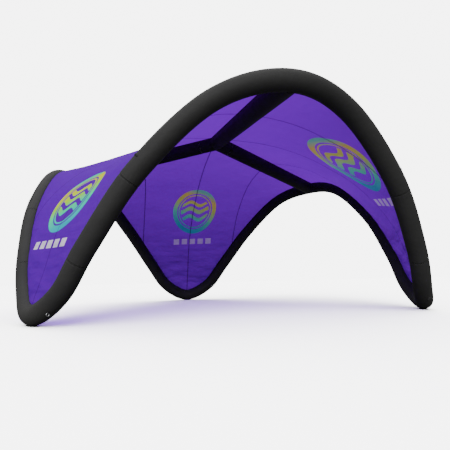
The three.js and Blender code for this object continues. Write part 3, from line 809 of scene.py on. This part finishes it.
def lathed(name, profile, axes, look, body, nodes=(), sides=64, shape=None):
    """A turned shape: profile of (radius, height); shape may change the radius with the angle."""
    origin, x, y, z = axes
    angles = np.arange(sides) * 2 * np.pi / sides
    points = []
    for radius, height in profile:
        reach = radius * np.ones(sides) if shape is None else shape(radius, height, angles)
        across, along = (reach * np.cos(angles))[:, None], (reach * np.sin(angles))[:, None]
        points.append(origin + z * height + x * across + y * along)
    faces, _ = strip_faces(len(profile), sides, True)
    return make_piece(name, np.concatenate(points), faces, look, body, nodes)


def ribbon(name, path, width, thickness, axes, look, body, nodes=()):
    """A strap of even width whose middle follows path, in the plane of the frame's x and z."""
    origin, x, y, z = axes
    path = np.asarray(path)
    heading = unit(np.gradient(path, axis=0))
    normal = np.stack([-heading[:, 1], heading[:, 0]], 1)
    half = width / 2
    rim = [(-half, -0.5), (-half + 0.0004, 0.5), (half - 0.0004, 0.5), (half, -0.5)]
    length = np.concatenate([[0], np.cumsum(np.linalg.norm(np.diff(path, axis=0), axis=1))])
    points = []
    for p, n in zip(path, normal):
        for across, up in rim:
            q = p + n * thickness * up
            points.append(origin + x * q[0] + z * q[1] + y * across)
    faces, corners = strip_faces(len(path), 4, True)
    around = np.array([0, width, width + thickness, 2 * width + thickness, 2 * (width + thickness)])
    uvs = np.stack([length[corners[..., 0]], around[corners[..., 1]]], -1)
    caps = [[3, 2, 1, 0], [(len(path) - 1) * 4 + k for k in range(4)]]
    uvs = np.concatenate([uvs, np.zeros((2, 4, 2))])
    faces = np.concatenate([faces, caps])
    return make_piece(name, np.array(points), faces, look, body, nodes, uvs={"cloth": uvs})


def fittings(leg, azimuth):
    valve = surface_frame(VALVE_AT, VALVE_ANGLE, 0.0006, azimuth)
    # A round welded patch under the valve, and a ribbed lid on it.
    origin, x, y, z = valve
    angles = np.arange(96) * 2 * np.pi / 96
    rows = []
    for radius, height in ((0.0322, 0.0016), (0.050, 0.0014), (0.0585, 0.0010), (0.0605, -0.0012)):
        across = radius * np.sin(angles)
        drop = TUBE_RADIUS - np.sqrt(np.maximum(TUBE_RADIUS**2 - across**2, 0))
        along = (radius * np.cos(angles))[:, None]
        rows.append(origin + x * along + y * across[:, None] + z * (height - drop)[:, None])
    faces, corners = strip_faces(4, 96, True)
    uvs = np.stack([corners[..., 0] * 0.009, corners[..., 1] * 0.004], -1)
    make_piece(
        f"valve_patch_{leg}", np.concatenate(rows), faces, "tube_cloth", "canopy",
        uvs={"cloth": uvs}, values={"end": np.repeat([0.050, 0.020, 0.012, 0.008], 96)},
    )
    lid = [
        (0.0001, 0.0015), (0.0112, 0.0015), (0.0115, 0.0018), (0.0115, 0.0045), (0.0292, 0.0045),
        (0.0300, 0.0052), (0.0300, 0.0076), (0.0292, 0.0086), (0.0280, 0.0090), (0.0215, 0.0090),
        (0.0205, 0.0083), (0.0185, 0.0079),
        (0.0090, 0.0076), (0.0001, 0.0075),
    ]

    def knurl(radius, height, around):
        rib = 0.0005 * (np.cos(around * 30) > 0.2)
        return radius + (rib if radius > 0.0295 else 0)

    lathed(f"valve_lid_{leg}", lid, valve, "valve_plastic", f"cap_{leg}", [f"valve_cap_{leg}"], 120, knurl)
    # The lid's strap to its hinge.
    path = [(-0.0375, 0.0070), (-0.0345, 0.0078), (-0.030, 0.0074), (-0.026, 0.0070)]
    ribbon(f"lid_strap_{leg}", path, 0.0128, 0.0026, valve, "valve_plastic", f"cap_{leg}")
    knuckle = [
        (0.0001, -0.0064), (0.0040, -0.0064), (0.0045, -0.0059),
        (0.0045, 0.0059), (0.0040, 0.0064), (0.0001, 0.0064),
    ]
    hinge = (origin - x * 0.038 + z * 0.007, z, x, y)
    lathed(f"lid_knuckle_{leg}", knuckle, hinge, "valve_plastic", f"cap_{leg}", sides=32)
    tab = surface_frame(TAB_AT, TAB_ANGLE, 0.0006, azimuth)
    origin, x, y, z = tab
    eye = 0.0062
    turns = np.radians(np.linspace(-62, 242, 34))
    loop = [(eye * math.cos(t), TAB_PIVOT + eye * math.sin(t)) for t in turns]
    path = [
        (0.022, 0.0009), (0.014, 0.0009), (0.006, 0.0010),
        (0.0026, 0.0020), (0.0016, 0.0040), (0.0016, 0.0062),
    ]
    path = path + loop + [(-a, b) for a, b in reversed(path)]
    ribbon(f"ring_webbing_{leg}", path, 0.014, 0.0016, tab, "webbing", "canopy", [f"ring_tab_{leg}"])
    eye_centre = origin + z * TAB_PIVOT
    down = unit(np.array([0, 0, -1]) + y * y[2])
    middle = eye_centre + down * RING_RADIUS
    facing = np.cross(y, down)
    major = np.arange(96) * 2 * np.pi / 96
    minor = np.arange(20) * 2 * np.pi / 20
    weld = 0.00035 * np.exp(-(((major - 1.9) / 0.09) ** 2))
    wire = RING_WIRE - 0.0001 + weld
    outward = y * np.cos(major)[:, None] + down * np.sin(major)[:, None]
    points = middle + outward[:, None] * (RING_RADIUS + wire[:, None] * np.cos(minor))[..., None]
    points = points + facing * (wire[:, None] * np.sin(minor))[..., None]
    i, j = np.meshgrid(np.arange(96), np.arange(20), indexing="ij")
    i, j = i.ravel(), j.ravel()
    i2, j2 = (i + 1) % 96, (j + 1) % 20
    faces = np.stack([i * 20 + j, i2 * 20 + j, i2 * 20 + j2, i * 20 + j2], 1)
    make_piece(f"ring_{leg}", points.reshape(-1, 3), faces, "ring_steel", f"ring_{leg}", [f"tie_ring_{leg}"])
    for mark, side in (("a", 1), ("b", -1)):
        spot = around_loop(np.array(side * GUY_AT), np.array(float(GUY_ANGLE)))
        centre, along, normal = (turned(p, azimuth) for p in spot)
        across = np.cross(normal, along)
        spread = np.radians(np.linspace(-25, 25, 41))
        hump = 0.0075 * np.clip(1 - (np.degrees(spread) / 15) ** 2, 0, 1) ** 1.5
        reach = TUBE_RADIUS + 0.0016 + hump
        path = np.stack([reach * np.sin(spread), reach * np.cos(spread)], 1)
        ribbon(
            f"guy_loop_{leg}_{mark}", path, 0.025, 0.0019, (centre, across, along, normal),
            "webbing", "canopy", [f"guy_strap_{leg}_{mark}"],
        )


# ---------------------------------------------------------------- put together
for leg, azimuth in LEG_AZIMUTH.items():
    arch = ARCH_AFTER_LEG[leg]
    loop_cover(f"foot_cover_{leg}", -FOOT_SEAM, FOOT_SEAM, f"foot_sleeve_{leg}", azimuth)
    loop_cover(f"leg_cover_{leg}_a", FOOT_SEAM, ARCH_SEAM, f"leg_sleeve_{leg}_a", azimuth)
    loop_cover(f"leg_cover_{leg}_b", -ARCH_SEAM, -FOOT_SEAM, f"leg_sleeve_{leg}_b", azimuth)
    loop_cover(f"arch_cover_{arch}", ARCH_SEAM, 2 - ARCH_SEAM, f"arch_sleeve_{arch}", azimuth)
    ridge_cover(f"ridge_cover_{arch}", f"ridge_sleeve_{arch}", azimuth)
    petal(leg, azimuth)
    fittings(leg, azimuth)
hub_cover()

# CAD nodes that stay as they are.
for node, look in (
    ("leg_bladder", "bladder_film"), ("foot_pad", "sole_rubber"), ("valve_body", "valve_plastic"),
    ("valve_plunger", "plunger_plastic"),
):
    for leg in LEG_AZIMUTH:
        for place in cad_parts[f"{node}_{leg}"].material_slots:
            place.material = LOOK[look]
for arch in ARCH_AFTER_LEG.values():
    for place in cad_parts[f"ridge_bladder_{arch}"].material_slots:
        place.material = LOOK["bladder_film"]


# ---------------------------------------------------------------- floor and light
def make_stage():
    mesh = bpy.data.meshes.new("floor")
    reach = 60
    corners = [(-reach, -reach, 0), (reach, -reach, 0), (reach, reach, 0), (-reach, reach, 0)]
    mesh.from_pydata(corners, [], [(0, 1, 2, 3)])
    floor = bpy.data.objects.new("floor", mesh)
    bpy.context.collection.objects.link(floor)
    # The floor reads as bright studio paper, and throws little light back up.
    shader = Shader("floor")
    seen = shader.node("LightPath").outputs["Is Camera Ray"]
    paper = shader.node("BsdfDiffuse")
    shader.put(shader.mix(seen, (0.14, 0.14, 0.14, 1), (3.3, 3.3, 3.3, 1)), paper.inputs["Color"])
    shader.put(paper.outputs[0], shader.output.inputs["Surface"])
    mesh.materials.append(shader.material)
    world = bpy.data.worlds.new("studio")
    world.use_nodes = True
    tree = world.node_tree
    ambient = tree.nodes["Background"]
    ambient.inputs[0].default_value = (1, 1, 1, 1)
    ambient.inputs[1].default_value = 0.45
    backdrop = tree.nodes.new("ShaderNodeBackground")
    backdrop.inputs[0].default_value = (1, 1, 1, 1)
    backdrop.inputs[1].default_value = 6.1
    path = tree.nodes.new("ShaderNodeLightPath")
    both = tree.nodes.new("ShaderNodeMixShader")
    tree.links.new(path.outputs["Is Camera Ray"], both.inputs[0])
    tree.links.new(ambient.outputs[0], both.inputs[1])
    tree.links.new(backdrop.outputs[0], both.inputs[2])
    tree.links.new(both.outputs[0], tree.nodes["World Output"].inputs[0])
    bpy.context.scene.world = world
    suns = (("key", 4.3, 60, (0.38, 0.78, -0.50)), ("top", 2.5, 75, (0.0, -0.15, -1)))
    for name, power, spread, direction in suns:
        data = bpy.data.lights.new(name, "SUN")
        data.energy = power
        data.angle = math.radians(spread)
        lamp = bpy.data.objects.new(name, data)
        lamp.rotation_euler = Vector(direction).to_track_quat("-Z", "Y").to_euler()
        bpy.context.collection.objects.link(lamp)


make_stage()
